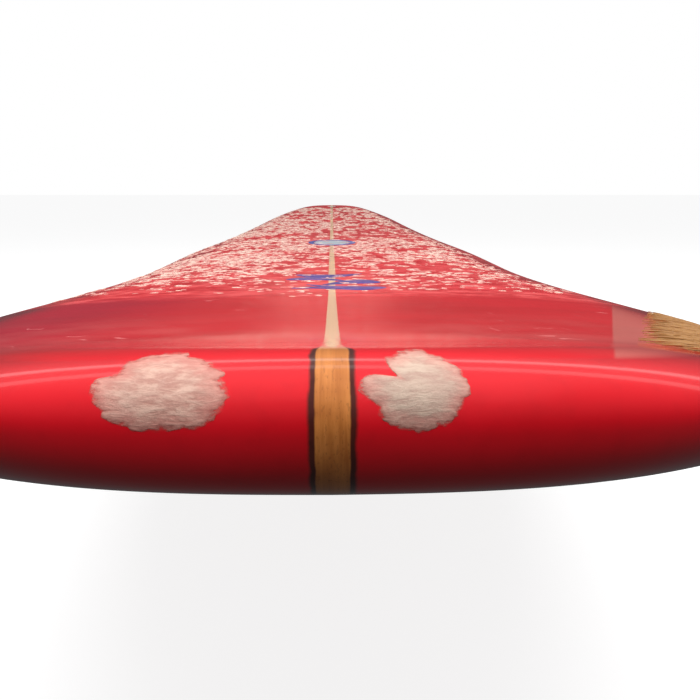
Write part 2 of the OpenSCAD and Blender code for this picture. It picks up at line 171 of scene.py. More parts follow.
def finish(name, **constants):
    """Starts a material. Constants are set on the shader's own sockets. Returns a wire of object
    coordinates, and a function that connects what varies over the surface."""
    made = bpy.data.materials.new(name)
    made.use_nodes = True
    tree = made.node_tree
    shader = tree.nodes["Principled BSDF"]
    for key, value in constants.items():
        shader.inputs[key.replace("_", " ")].default_value = value

    def connect(colour, roughness, bump, depth, coat=None, alpha=None):
        """Feeds the shader from wires, with bump as a relief of that depth in metres."""
        height = bump.add("ShaderNodeBump", {"Height": bump, "Distance": depth, "Strength": 1.0})
        wires = {
            "Base Color": colour,
            "Roughness": roughness,
            "Normal": height,
            "Coat Weight": coat,
            "Alpha": alpha,
        }
        for key, wire in wires.items():
            if wire is not None:
                tree.links.new(wire.socket, shader.inputs[key])
        return made

    return Wire(tree).add("ShaderNodeTexCoord", {}, out=3), connect


def paint_node(node, made):
    """Gives a CAD node one material."""
    mesh = nodes[node].data
    mesh.materials.clear()
    mesh.materials.append(made)


place, connect = finish("foam")
foam_cells = place.cells(900)
foam_made = connect(
    colour=place.noise(14).blend((0.82, 0.74, 0.54), (0.92, 0.87, 0.72)),
    roughness=0.85 + 0.1 * foam_cells,
    bump=foam_cells,
    depth=0.0004,
)
for node in ("foam_core_left", "foam_core_right"):
    paint_node(node, foam_made)


# ---------------------------------------------------------------- stringer and glue lines
# A 7 mm plank of light red cedar stands on edge from nose to tail. A line of dark glue holds
# it to the foam on each side.
def cedar(place):
    """Colour of the plank: long grain along the board, broad bands and fine dark pores."""
    grain = place.place(scale=(700, 7, 55)).noise(1.0, detail=5, rough=0.6, warp=0.6)
    bands = place.place(scale=(60, 3, 130)).noise(1.0, detail=2)
    pores = place.place(scale=(1600, 30, 900)).noise(1.0, detail=2)
    tone = (grain * 0.55 + bands * 0.6 - 0.08).step(0.25, 0.75)
    pale = tone.blend((0.44, 0.125, 0.020), (0.74, 0.265, 0.060))
    return (pores.step(0.56, 0.70) * 0.3).blend(pale, (0.22, 0.06, 0.012))


def dark_glue(place):
    """Colour of the glue: dark red-brown, a little cloudy."""
    return place.noise(300).blend((0.040, 0.005, 0.003), (0.11, 0.014, 0.008))


place, connect = finish("cedar_plank", Coat_Weight=0.3)
cedar_made = connect(
    colour=cedar(place),
    roughness=0.4 + 0.2 * place.noise(200),
    bump=place.noise(900),
    depth=0.0002,
)
paint_node("stringer", cedar_made)
place, connect = finish("glue_line", Coat_Weight=0.2)
glue_made = connect(
    colour=dark_glue(place),
    roughness=0.3 + 0.3 * place.noise(400),
    bump=place.noise(600),
    depth=0.0003,
)
for node in ("glue_line_left", "glue_line_right"):
    paint_node(node, glue_made)


# ---------------------------------------------------------------- laminate
# Glass cloth and red polyester resin wrap the blank, clear over the stringer, with a polished
# gloss coat. It is one closed skin 1.2 mm thick, open at the leash cup and at the fin box.
# In every formula s is the distance from the nose, and v goes from 0 on the centreline to 1
# at the rail.
LENGTH = 2.743
HALF_WIDTH = 0.290
WIDE_AT = 1.300
NOSE_ROUND_Y = 3.04
NOSE_ROUND_X = 2.76
TAIL_SHARE = 0.304
TAIL_PULL = 2.6
CORNER_N = 70
CORNER_M = 2.6
FLAT_FROM = 1.150
FLAT_TO = 1.500
NOSE_ROCKER = 0.1057
NOSE_CURVE = 1.8
TAIL_ROCKER = 0.104
TAIL_CURVE = 2.55
STRAIGHT_TAIL = 0.420
MID_THICK = 0.078
NOSE_THICK = 0.0295
TAIL_THICK = 0.026
NOSE_LIP = 0.0046
NOSE_FLIP = 0.0022
LIP_RUN = 0.080
FULL_AT = 1.371
THICK_POWER = 2.2
SKIN = 0.0012
APEX = 0.47
DECK_A = 3.8
BELLY_A = 6
BELLY_B = 2.2
NOSE_FAN = 0.038
TAIL_FAN = 0.070
FAN_SPREAD = 0.012
ORIGIN_AT = (FLAT_FROM + FLAT_TO) / 2
TAIL_RUN = LENGTH - WIDE_AT
CUP_HOLE_RADIUS = 0.0120
BOX_HOLE_HALF_WIDTH = 0.0095
BOX_HOLE_END_GAP = 0.0065
WAX_FROM = 0.372


def rocker(s):
    """Height of the bottom over its flat: a power curve up to the nose with a small flip at
    its tip, and a power curve to the tail that runs out straight over the fin box."""
    knee = (LENGTH - STRAIGHT_TAIL - FLAT_TO) / (LENGTH - FLAT_TO)
    slope = TAIL_CURVE * knee ** (TAIL_CURVE - 1)
    u = np.maximum((s - FLAT_TO) / (LENGTH - FLAT_TO), 0)
    rise = np.where(u < knee, u ** TAIL_CURVE, knee ** TAIL_CURVE + slope * (u - knee))
    whole = knee ** TAIL_CURVE + slope * (1 - knee)
    nose = NOSE_ROCKER * np.maximum(1 - s / FLAT_FROM, 0) ** NOSE_CURVE
    return nose + NOSE_FLIP * np.exp(-((s / LIP_RUN) ** 2)) + TAIL_ROCKER * rise / whole


def thickness(s):
    """Thickness: full amidships, less by a power of the distance towards each end, and more
    again in the blunt lip at the nose."""
    nose = np.clip(1 - s / FULL_AT, 0, 1) ** THICK_POWER
    tail = np.clip((s - FULL_AT) / (LENGTH - FULL_AT), 0, 1) ** THICK_POWER
    lip = NOSE_LIP * np.exp(-((s / LIP_RUN) ** 2))
    return MID_THICK - (MID_THICK - NOSE_THICK) * nose - (MID_THICK - TAIL_THICK) * tail + lip


def skin_z(s, v, deck=True):
    """Height of the skin: from the edge of the rail the deck rises, and the bottom falls, as a
    superellipse of v."""
    t = thickness(s)
    edge = rocker(s) + APEX * t
    if deck:
        return edge + (1 - APEX) * t * np.sqrt(np.maximum(1 - v ** DECK_A, 0))
    return edge - APEX * t * np.maximum(1 - v ** BELLY_A, 0) ** (1 / BELLY_B)


def nose_outline(angle):
    """Outline of the nose, a quarter superellipse: distance from the nose, and half width."""
    s = WIDE_AT * (1 - np.cos(angle) ** (2 / NOSE_ROUND_Y))
    return s, HALF_WIDTH * np.sin(angle) ** (2 / NOSE_ROUND_X)


def tail_outline(u, corner):
    """Outline behind the wide point: a power pull-in times the rounding of the tail's corner."""
    return WIDE_AT + u * TAIL_RUN, HALF_WIDTH * (1 - (1 - TAIL_SHARE) * u ** TAIL_PULL) * corner


def half_width(s):
    """Half width of the board at distance s from the nose."""
    cosine = np.clip(1 - s / WIDE_AT, 0, 1) ** (NOSE_ROUND_Y / 2)
    nose = HALF_WIDTH * (1 - cosine ** 2) ** (1 / NOSE_ROUND_X)
    u = np.clip((s - WIDE_AT) / TAIL_RUN, 0, 1)
    tail = tail_outline(u, (1 - u ** CORNER_N) ** (1 / CORNER_M))[1]
    return np.where(s < WIDE_AT, nose, tail)


def line_start(s, w):
    """Where on the centreline the section line starts that ends at rail point (s, w). Near the
    nose and the tail the lines fan out from a short stretch of the centreline."""
    e = LENGTH - s
    from_nose = w / half_width(2 * NOSE_FAN)
    from_tail = w / half_width(LENGTH - 2 * TAIL_FAN)
    nose = s + NOSE_FAN * (1 - s / (2 * NOSE_FAN)) ** 2 + FAN_SPREAD * from_nose * (1 - from_nose)
    tail = s - TAIL_FAN * (1 - e / (2 * TAIL_FAN)) ** 2 - FAN_SPREAD * from_tail * (1 - from_tail)
    return np.where(s < 2 * NOSE_FAN, nose, np.where(e < 2 * TAIL_FAN, tail, s))


def section_lines():
    """Rail points of the section lines, closest where the outline turns quickly."""
    nose = nose_outline(math.pi / 2 * np.linspace(0, 1, 91) ** 1.5)
    corner_from = 0.965
    stops = ((0, 0.7, 36), (0.7, 0.9, 56), (0.9, corner_from, 25))
    u = np.concatenate([np.linspace(*stop)[1:] for stop in stops])
    tail = tail_outline(u, (1 - u ** CORNER_N) ** (1 / CORNER_M))
    turn = math.acos(corner_from ** (CORNER_N / 2)) * np.linspace(1, 0, 21)[1:]
    corner = tail_outline(np.cos(turn) ** (2 / CORNER_N), np.sin(turn) ** (2 / CORNER_M))
    return [np.concatenate(part) for part in zip(nose, tail, corner)]


def quads(rows, cols, first=0, flip=False):
    """Faces of a grid of points that is stored row by row."""
    a = first + (np.arange(rows - 1)[:, None] * cols + np.arange(cols - 1)[None]).ravel()
    faces = np.stack([a, a + 1, a + cols + 1, a + cols], axis=1)
    return faces[:, ::-1] if flip else faces


def mesh_object(name, points, faces, uv=None):
    """A smooth-shaded object from arrays of points and faces, with uv given for each point."""
    mesh = bpy.data.meshes.new(name)
    faces = [np.asarray(f).tolist() for f in faces]
    mesh.from_pydata(np.asarray(points).reshape(-1, 3).tolist(), [], faces)
    if uv is not None:
        corners = np.empty(len(mesh.loops), dtype=np.int32)
        mesh.loops.foreach_get("vertex_index", corners)
        mesh.uv_layers.new(name="surface").data.foreach_set("uv", uv.reshape(-1, 2)[corners].ravel())
    mesh.polygons.foreach_set("use_smooth", np.ones(len(mesh.polygons), dtype=bool))
    made = bpy.data.objects.new(name, mesh)
    bpy.context.collection.objects.link(made)
    return made


def welded(thing, apart=1e-6):
    """Merges doubled points, drops faces of no area, and turns the faces outwards."""
    shape = bmesh.new()
    shape.from_mesh(thing.data)
    bmesh.ops.remove_doubles(shape, verts=shape.verts, dist=apart)
    bmesh.ops.dissolve_degenerate(shape, dist=apart, edges=shape.edges)
    bmesh.ops.recalc_face_normals(shape, faces=shape.faces)
    shape.to_mesh(thing.data)
    shape.free()
    return thing


def fixed(piece, made, body, slot, *replaced):
    """Gives a piece its material and the body it rides on, and hides the nodes it stands for. The slot is
    not used.
    """
    piece.data.materials.append(made)
    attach(piece, body)
    if replaced:
        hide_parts(*replaced)


def laminate_mesh():
    """Deck and bottom, left and right, as grids of section lines, without the faces at the
    leash cup and over the fin box. Each line runs from the centreline to the rail with v as a
    sine, and "up" keeps how far a point's normal leans upwards."""
    cup = np.mean(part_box("leash_cup"), axis=0)
    box_low, box_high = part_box("fin_box")
    rail_s, rail_w = section_lines()
    v = np.sin(np.linspace(0, math.pi / 2, 45))[None]
    start = line_start(rail_s, rail_w)[:, None]
    along = start + (rail_s[:, None] - start) * v
    points, faces = [], []
    for deck, side in ((True, 1), (True, -1), (False, 1), (False, -1)):
        grid = np.stack([side * rail_w[:, None] * v, along - ORIGIN_AT, skin_z(along, v, deck)], axis=-1)
        sheet = quads(*along.shape)
        x, y, _ = grid.reshape(-1, 3)[sheet].mean(axis=1).T
        if deck:
            hole = np.hypot(x - cup[0], y - cup[1]) < CUP_HOLE_RADIUS
        else:
            hole = (np.abs(x) < BOX_HOLE_HALF_WIDTH) & (y > box_low[1] + BOX_HOLE_END_GAP)
            hole &= y < box_high[1] - BOX_HOLE_END_GAP
        faces.append(sheet[~hole] + len(points) * along.size)
        points.append(grid)
    made = welded(mesh_object("red_laminate", np.concatenate(points), np.concatenate(faces)), 2e-6)
    normals = np.empty(3 * len(made.data.vertices), dtype=np.float32)
    made.data.vertex_normals.foreach_get("vector", normals)
    made.data.attributes.new("up", "FLOAT", "POINT").data.foreach_set("value", normals[2::3].copy())
    return made


def scratches(place, scale, turn, thin):
    """Thin curved scratches: the middle line of a stretched noise, shown in a few patches."""
    lines = place.place(scale=(1, 0.25, 1), turn=(0, 0, turn)).noise(scale, detail=1.5, warp=0.8)
    return abs(lines - 0.5).step(thin, thin * 0.3) * place.noise(scale * 1.7, detail=1).step(0.60, 0.68)


laminate = laminate_mesh()
thicken = laminate.modifiers.new("cloth_thickness", "SOLIDIFY")
thicken.thickness = SKIN
thicken.offset = -1
place, connect = finish("red_gloss", Coat_Roughness=0.09, Coat_IOR=1.45, Specular_IOR_Level=0.2)
along = place.part(1) + ORIGIN_AT
across = abs(place.part(0))
wander = (place.noise(160, detail=3) - 0.5) * 0.0007

# Red resin, cloudy over a hand's width and darker in fine mottles.
cloudy = place.noise(7, detail=3, rough=0.6)
fine = place.noise(160, detail=3)
red = cloudy.step(0.3, 0.7).blend((0.66, 0.0012, 0.0075), (0.80, 0.0035, 0.014))
red = (fine.step(0.45, 0.8) * 0.14).blend(red, (0.40, 0.001, 0.005))

# A patchy film of wax dulls it from the wax's ragged front edge to the tail.
front = (along + 0.09 * (place.noise(9) - 0.5)).step(WAX_FROM, WAX_FROM + 0.06)
film = front * place.noise(38, detail=6, rough=0.65).step(0.34, 0.66)
red = (film * 0.42).blend(red, (0.80, 0.24, 0.23))

# A plum patch of painted shadow behind the nose on the left, and on the right of the deck a pale
# wedge of painted reflection with a straight edge.
on_deck = place.own("up").step(0.986, 0.995)
# Painted shadow: the left of the deck behind the nose is darkened towards plum.
painted_shadow = place.part(0).step(-0.05, -0.15) * along.step(0.46, 0.34) * along.step(0.05, 0.11)
red = (painted_shadow * 0.4).blend(red, (0.20, 0.002, 0.045))
# Painted reflection: a pale wedge on the right of the upward-facing deck.
reflected_wedge = (place.part(0) - 0.339 * along).step(0.0600, 0.0612) * along.step(0.44, 0.40) * on_deck
red = (reflected_wedge * 0.55).blend(red, (0.62, 0.24, 0.19))

# Pale scratches, and a painted highlight: a pink sheen of painted reflection behind the lip of the nose.
worn = (scratches(place, 21, 0.5, 0.005) + scratches(place, 33, 1.9, 0.004)) * along.step(0.06, 0.12)
red = (worn * 0.4).blend(red, (0.85, 0.40, 0.38))
# Painted highlight: lighter pink only on the upward-facing deck just behind the lip.
lip_glare = along.step(0.02, 0.06) * along.step(0.30, 0.06) * on_deck * place.noise(30).step(0.2, 0.8)
red = (lip_glare * 0.3).blend(red, (0.95, 0.28, 0.25))

# The strip of wood under clear resin, edged with dark glue on the lip of the nose. Behind the lip it is
# narrower for the first half metre, and paler with painted light that stands in for the lit deck.
narrow_and_lit = along.step(0.022, 0.038)
glue_edge = across + wander * 2.2 + narrow_and_lit * 0.0030
tone = glue_edge.step(0.0058, 0.0047).blend(red, dark_glue(place))
# Painted highlight: behind the lip the wood is paled towards cream.
wood = (narrow_and_lit * 0.62).blend(cedar(place), (0.92, 0.70, 0.47))
wood_edge = across + wander + narrow_and_lit * along.step(0.80, 0.45) * 0.0012
tone = wood_edge.step(0.0041, 0.0036).blend(tone, wood)
laminate_made = connect(
    colour=tone,
    roughness=0.28 + 0.25 * film + 0.2 * worn,
    bump=place.noise(16, detail=2) + 0.02 * place.noise(420) - 0.05 * worn,
    depth=0.0010,
    coat=(1 - 0.6 * film) * (1 - 0.6 * on_deck),
)
fixed(laminate, laminate_made, "board", "red_resin", "deck_glass", "bottom_glass")
for node in ("deck_glass", "bottom_glass"):
    paint_node(node, laminate_made)


# ---------------------------------------------------------------- printed emblems
# Two ink prints lie on the stringer under the wax: a group of crossed waves, and a ringed disc
# nearer the tail. Each is a film as thin as paper that follows the deck.
def film_piece(name, x, s, lift=0.00012, thick=0.00014):
    """A sheet of ink from two grids of x and s, lifted off the deck and closed all round."""
    points = np.stack([x, s - ORIGIN_AT, skin_z(s, np.abs(x) / half_width(s)) + lift], axis=-1)
    made = welded(mesh_object(name, points, quads(*x.shape)), 1e-5)
    wall = made.modifiers.new("ink", "SOLIDIFY")
    wall.thickness = thick
    return made


def ink(name, colour, rubbed_colour, scale):
    """Printing ink, rubbed thin in patches by feet and wax."""
    place, connect = finish(name, Coat_Roughness=0.12)
    rubbed = place.place(scale=(1, 0.5, 1)).noise(scale, detail=6, rough=0.7)
    return connect(
        colour=rubbed.step(0.47, 0.64).blend(colour, rubbed_colour),
        roughness=0.3 + 0.3 * rubbed,
        bump=place.noise(500),
        depth=0.0002,
        coat=0.5 - 0.3 * rubbed,
    )


def wave_stroke(x0, s0, x1, s1, belly, fat):
    """A wave from one point of the deck to another: its line bellies to one side as half a
    sine, and its width grows from nothing and ends in a point."""
    t = np.linspace(0, 1, 48)[:, None]
    edge = np.linspace(-1, 1, 5)[None]
    width = fat * np.sin(math.pi * t ** 0.7) ** 0.8
    line = s0 + (s1 - s0) * t + belly * np.sin(math.pi * t)
    return np.broadcast_arrays(x0 + (x1 - x0) * t, line + edge * width)


emblem_s = np.mean(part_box("nose_emblem"), axis=0)[1] + ORIGIN_AT
blue = ink("blue_ink", (0.045, 0.050, 0.30), (0.24, 0.12, 0.34), 60)
# Each wave: x and s of its start and of its end, with s from the emblem's middle, then its
# belly and its fatness.
strokes = {
    "wave_front": (0.046, -0.120, -0.024, -0.070, -0.030, 0.027),
    "wave_right": (0.046, -0.035, -0.010, -0.085, 0.030, 0.034),
    "wave_left": (-0.046, 0.010, 0.016, -0.020, 0.030, 0.026),
    "wave_back": (-0.040, 0.095, 0.034, 0.115, -0.035, 0.030),
    "wave_small": (-0.034, -0.130, 0.004, -0.150, 0.018, 0.012),
}
for name, (x0, s0, x1, s1, belly, fat) in strokes.items():
    stroke = film_piece(name, *wave_stroke(x0, emblem_s + s0, x1, emblem_s + s1, belly, fat))
    fixed(stroke, blue, "board", "emblem_ink", "nose_emblem")

disc_low, disc_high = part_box("round_emblem")
disc_s = (disc_low[1] + disc_high[1]) / 2 + ORIGIN_AT
disc_reach = (disc_high[0], (disc_high[1] - disc_low[1]) / 2)
# Each ring: its inner and outer reach as shares of the disc's, and its ink.
disc_inks = {
    "disc_face": (0.0, 0.74, ink("white_ink", (0.52, 0.62, 0.68), (0.62, 0.38, 0.38), 40)),
    "disc_rim": (0.76, 1.0, ink("ring_ink", (0.05, 0.10, 0.40), (0.30, 0.32, 0.58), 40)),
}
for name, (inner, outer, made) in disc_inks.items():
    turn = np.linspace(0, 2 * math.pi, 73)[:, None]
    reach = np.linspace(inner, outer, 6)[None]
    ring_x = disc_reach[0] * reach * np.sin(turn)
    ring_s = disc_s + disc_reach[1] * reach * np.cos(turn)
    fixed(film_piece(name, ring_x, ring_s), made, "board", "round_ink", "round_emblem")


# ---------------------------------------------------------------- surf wax
# Soft wax is rubbed on until it beads into low bumps, and feet smear it sideways. Each bead is
# a small mound of its own, and they gather in streaks with bare deck between.
# MOST_BEADS keeps each piece of them under 200,000 triangles.
seed = np.random.default_rng(7)
WAX_TO = 2.600
MOST_BEADS = 7400


def smooth_noise(x, y, size, salt=0):
    """Value noise: a random number at each corner of a square net, joined by smooth curves."""
    table = np.random.default_rng(int(size * 1e4) + salt).random((256, 256))
    gx, gy = x / size, y / size
    ix, iy = np.floor(gx).astype(int), np.floor(gy).astype(int)
    fx, fy = gx - ix, gy - iy
    fx, fy = fx * fx * (3 - 2 * fx), fy * fy * (3 - 2 * fy)
    ix, after_ix, iy, after_iy = ix % 256, (ix + 1) % 256, iy % 256, (iy + 1) % 256
    low = table[ix, iy] * (1 - fx) + table[after_ix, iy] * fx
    high = table[ix, after_iy] * (1 - fx) + table[after_ix, after_iy] * fx
    return low * (1 - fy) + high * fy


def bead_places(count):
    """Where beads lie: in streaks and patches, thin at the front edge and at the rails, and
    rubbed away along the stringer and over the emblems."""
    s = WAX_FROM + (WAX_TO - WAX_FROM) * seed.random(count)
    v = seed.uniform(-1, 1, count)
    x = v * half_width(s)
    streak = smooth_noise(x, s * 0.45, 0.011) * 0.6 + smooth_noise(x, s * 0.5, 0.005, 2) * 0.4
    patch = smooth_noise(x, s * 0.7, 0.13, 5)
    share = np.clip((streak + 0.4 * (patch - 0.5) - 0.42) / 0.22, 0, 1)
    front = np.clip((s - WAX_FROM - 0.12 * (patch - 0.3) - 0.10 * np.abs(v)) / 0.42, 0.0, 1)
    rail = np.clip((np.where(v > 0, 0.83, 0.93) - np.abs(v)) / 0.16, 0, 1)
    stringer = np.clip((np.abs(x) - 0.003) / 0.003, 0.05, 1)
    by_middle = np.abs(x) < 0.046
    emblem = np.where(by_middle & (np.abs(s - emblem_s) < 0.15), 0.34, 1)
    disc = np.where(by_middle & (np.abs(s - disc_s) < 0.09), 0.18, 1)
    kept = seed.random(count) < share * front * rail * stringer * emblem * disc
    return x[kept], s[kept]


def bead_mesh(name, x, s, size, height):
    """Beads as one mesh: each has a rim of seven points on the deck, a smaller ring near its
    top and a peak. Rims are irregular ovals, longer across the board."""
    n, rim = len(x), 7
    turn = np.linspace(0, 2 * math.pi, rim, endpoint=False)[None] + seed.uniform(0, 1, (n, 1))
    reach = size[:, None] * seed.uniform(0.65, 1.25, (n, rim))
    out_x = reach * np.cos(turn) * seed.uniform(1.2, 2.6, (n, 1))
    out_s = reach * np.sin(turn) + seed.normal(0, 0.18, (n, 1)) * out_x
    layers = []
    for share_out, share_up in ((1.0, 0.0), (0.62, 0.75), (0.0, 1.0)):
        px, ps = x[:, None] + out_x * share_out, s[:, None] + out_s * share_out
        rise = height[:, None] * share_up * seed.uniform(0.85, 1.1, (n, rim)) - 0.0001
        v = np.minimum(np.abs(px) / half_width(ps), 0.985)
        layers.append(np.stack([px, ps - ORIGIN_AT, skin_z(ps, v) + rise], axis=-1))
    points = np.concatenate([layers[0], layers[1], layers[2].mean(axis=1, keepdims=True)], axis=1)
    k = np.arange(rim)
    after = (k + 1) % rim
    sides = np.stack([k, after, after + rim, k + rim], axis=1)
    tops = np.stack([k + rim, after + rim, np.full(rim, 2 * rim)], axis=1)
    base = (np.arange(n) * (2 * rim + 1))[:, None, None]
    unders = base[:, 0] + k[::-1]
    faces = [*(sides + base).reshape(-1, 4), *(tops + base).reshape(-1, 3), *unders]
    return mesh_object(name, points, faces)


place, connect = finish("wax", Specular_IOR_Level=0.4)
lump = place.noise(140, detail=5, rough=0.6)
wax_made = connect(
    colour=lump.step(0.40, 0.62).blend((0.64, 0.25, 0.23), (0.93, 0.73, 0.60)),
    roughness=0.42 + 0.3 * lump,
    bump=place.noise(900, detail=3),
    depth=0.0003,
)
# Each piece: how many places are tried, and the smallest and largest bead.
for name, tries, small, large in (
    ("wax_beads_a", 15000, 0.0009, 0.0022),
    ("wax_beads_b", 15000, 0.0009, 0.0022),
    ("wax_beads_c", 15000, 0.0012, 0.0028),
    ("wax_beads_d", 7000, 0.0024, 0.0036),
):
    bead_x, bead_s = bead_places(tries)
    bead_x, bead_s = bead_x[:MOST_BEADS], bead_s[:MOST_BEADS]
    size = seed.uniform(small, large, len(bead_x)) * (0.85 + 0.35 * bead_s)
    height = np.minimum(size * seed.uniform(0.16, 0.30, len(bead_x)), 0.0012)
    fixed(bead_mesh(name, bead_x, bead_s, size, height), wax_made, "board", "wax", "wax_coat")


# ---------------------------------------------------------------- nose fillers
# Two dings in the nose are filled with pale polyester putty, spread by finger and sanded, so
# their edges are ragged and their face is dull and streaky.
SPREAD_SLOPE = math.tan(math.radians(14))


def nose_face(x, q):
    """Distance s behind the nose's tip of the skin point that is met by a line through x and
    height q at the tip, sloping down by 14 degrees. Solved by repeating: height gives v, v
    gives the half width, and that gives the section line."""
    s = np.full_like(x, 0.008)
    for _ in range(60):
        z = q - SPREAD_SLOPE * s
        t = thickness(s)
        edge = rocker(s) + APEX * t
        up = np.clip((z - edge) / ((1 - APEX) * t), 0, 0.999)
        down = np.clip((edge - z) / (APEX * t), 0, 0.985)
        v = np.where(z > edge, (1 - up ** 2) ** (1 / DECK_A), (1 - down ** BELLY_B) ** (1 / BELLY_A))
        w = np.clip(np.abs(x) / v, 1e-5, HALF_WIDTH * 0.9)
        rail = WIDE_AT * (1 - (1 - (w / HALF_WIDTH) ** NOSE_ROUND_X) ** (1 / NOSE_ROUND_Y))
        start = line_start(rail, w)
        s = 0.75 * s + 0.25 * (start + (rail - start) * v)
    return s


def filler_patch(name, x, up, width, height, phase, lobe):
    """A patch of putty as two polar grids, its face and its back: thickest in the middle and
    feathered to nothing at a rim that is a sum of sines, with a bulge beside a notch."""
    turn = np.linspace(0, 2 * math.pi, 181)[None]
    reach = np.linspace(0, 1, 44)[:, None] ** 0.8
    waves = ((2, 0.02), (3, 0.025), (5, 0.02), (8, 0.02), (13, 0.018), (21, 0.014), (34, 0.012))
    ragged = sum(size * np.sin(count * turn + phase * count) for count, size in waves)
    bulge = np.exp(-((turn - math.radians(178)) / 0.30) ** 2)
    notch = np.exp(-((turn - math.radians(147)) / 0.17) ** 2)
    edge = 1 + ragged + lobe * (bulge - 1.5 * notch)
    tip = np.array(0.0)
    px = x + width / 2 * reach * edge * np.cos(turn)
    q = rocker(tip) + APEX * thickness(tip) + up + height / 2 * reach * edge * np.sin(turn)
    lumps = smooth_noise(px + 1, q * 0.8 + 1, 0.0035) * 0.4 + smooth_noise(px + 1, q + 1, 0.0011) * 0.25
    s = nose_face(px, q)
    step = 0.0004
    slope_x = (nose_face(px + step, q) - nose_face(px - step, q)) / (2 * step)
    slope_q = (nose_face(px, q + step) - nose_face(px, q - step)) / (2 * step)
    steep = np.maximum(slope_q, 0)
    long = np.sqrt(slope_x ** 2 + 1 + (steep - SPREAD_SLOPE) ** 2)
    face_out = 0.00022 * (1 - reach ** 6) * (0.8 + 0.5 * lumps) + 0.00003
    back_out = np.full_like(face_out, -0.0003)
    layers = []
    for out in (face_out, back_out):
        layers.append(np.stack([
            px + out * slope_x / long,
            s - out / long - ORIGIN_AT,
            q - SPREAD_SLOPE * s + out * steep / long,
        ], axis=-1))
    rows, cols = px.shape
    first = (rows - 1) * cols + np.arange(cols - 1)
    rim = np.stack([first, first + rows * cols, first + 1 + rows * cols, first + 1], axis=1)
    faces = np.concatenate([quads(rows, cols), quads(rows, cols, rows * cols, True), rim])
    uv = np.stack(np.broadcast_arrays(reach, turn / (2 * math.pi)), axis=-1)
    return welded(mesh_object(name, np.concatenate(layers), faces, np.concatenate([uv, uv])), 1e-6)


def putty(name, pale, dark):
    """Sanded putty: cloudy, streaked where it was spread, and red where it wears thin near
    its rim. The UV's first number is the share of the way from the middle to the rim."""
    place, connect = finish(name, Specular_IOR_Level=0.3)
    streaks = place.place(scale=(0.6, 1, 2.6), turn=(0, 0.45, 0)).noise(260, detail=6, rough=0.7, warp=0.4)
    clouds = place.noise(95, detail=5, rough=0.6)
    rim = place.add("ShaderNodeUVMap", {}, uv_map="surface").part(0)
    spread = place.place(scale=(0.5, 1, 1), turn=(0, -0.3, 0)).noise(330, detail=6, rough=0.7)
    thin = (rim + 0.55 * (spread - 0.5)).step(0.86, 1.04)
    tone = streaks.step(0.36, 0.64).blend(dark, pale)
    tone = (clouds.step(0.42, 0.72) * 0.5).blend(tone, (0.52, 0.33, 0.27))
    tone = ((rim + 0.7 * (spread - 0.5)).step(0.5, 0.95) * 0.45).blend(tone, (0.62, 0.16, 0.14))
    return connect(
        colour=tone,
        roughness=0.55 + 0.25 * clouds,
        bump=streaks + 0.5 * place.noise(900),
        depth=0.0003,
        alpha=1 - 0.95 * thin,
    )


left_putty = putty("left_putty", (0.70, 0.45, 0.36), (0.50, 0.25, 0.20))
right_putty = putty("right_putty", (0.62, 0.47, 0.37), (0.47, 0.30, 0.24))
left_filler = filler_patch("nose_putty_left", -0.0378, 0.0108, 0.0300, 0.0190, 1.1, 0.06)
right_filler = filler_patch("nose_putty_right", 0.0192, 0.0112, 0.0216, 0.0192, 2.6, 0.30)
fixed(left_filler, left_putty, "board", "filler", "nose_filler_left")
fixed(right_filler, right_putty, "board", "filler", "nose_filler_right")


# ---------------------------------------------------------------- rail repair
# An old crack along the right shoulder of the nose is bound with chopped glass strands in
# resin that the sun has turned yellow-brown. The strands lie across it and fray at its edge.
REPAIR_FROM = 0.062
REPAIR_TO = 0.410
REPAIR_TURN = 101
REPAIR_EDGE_AT = 0.0695
REPAIR_EDGE_SLOPE = 0.395


def rail_point(rail_s, turn, out):
    """Points around the rail on the section line that ends at rail_s. turn is 0 on the
    centreline of the deck, 90 at the rail's edge and more on the bottom, and out is how far
    the point stands off the skin."""
    angle = np.radians(turn)
    v = np.sin(angle)
    w = half_width(rail_s)
    start = line_start(rail_s, w)
    s = start + (rail_s - start) * v
    z = np.where(turn <= 90, skin_z(s, v), skin_z(s, v, False))
    return np.stack([w * v + out * np.sin(angle), s - ORIGIN_AT, z + out * np.cos(angle)], axis=-1)


def inner_turn(rail_s):
    """Turn at the inner edge of the repair, a straight line across the deck. Solved by
    repeating, because a section line leans back from the rail to the centreline."""
    s, w = rail_s, half_width(rail_s)
    start = line_start(rail_s, w)
    for _ in range(4):
        v = np.clip((REPAIR_EDGE_AT + REPAIR_EDGE_SLOPE * s) / w, 0, 0.99)
        s = start + (rail_s - start) * v
    return np.degrees(np.arcsin(v))


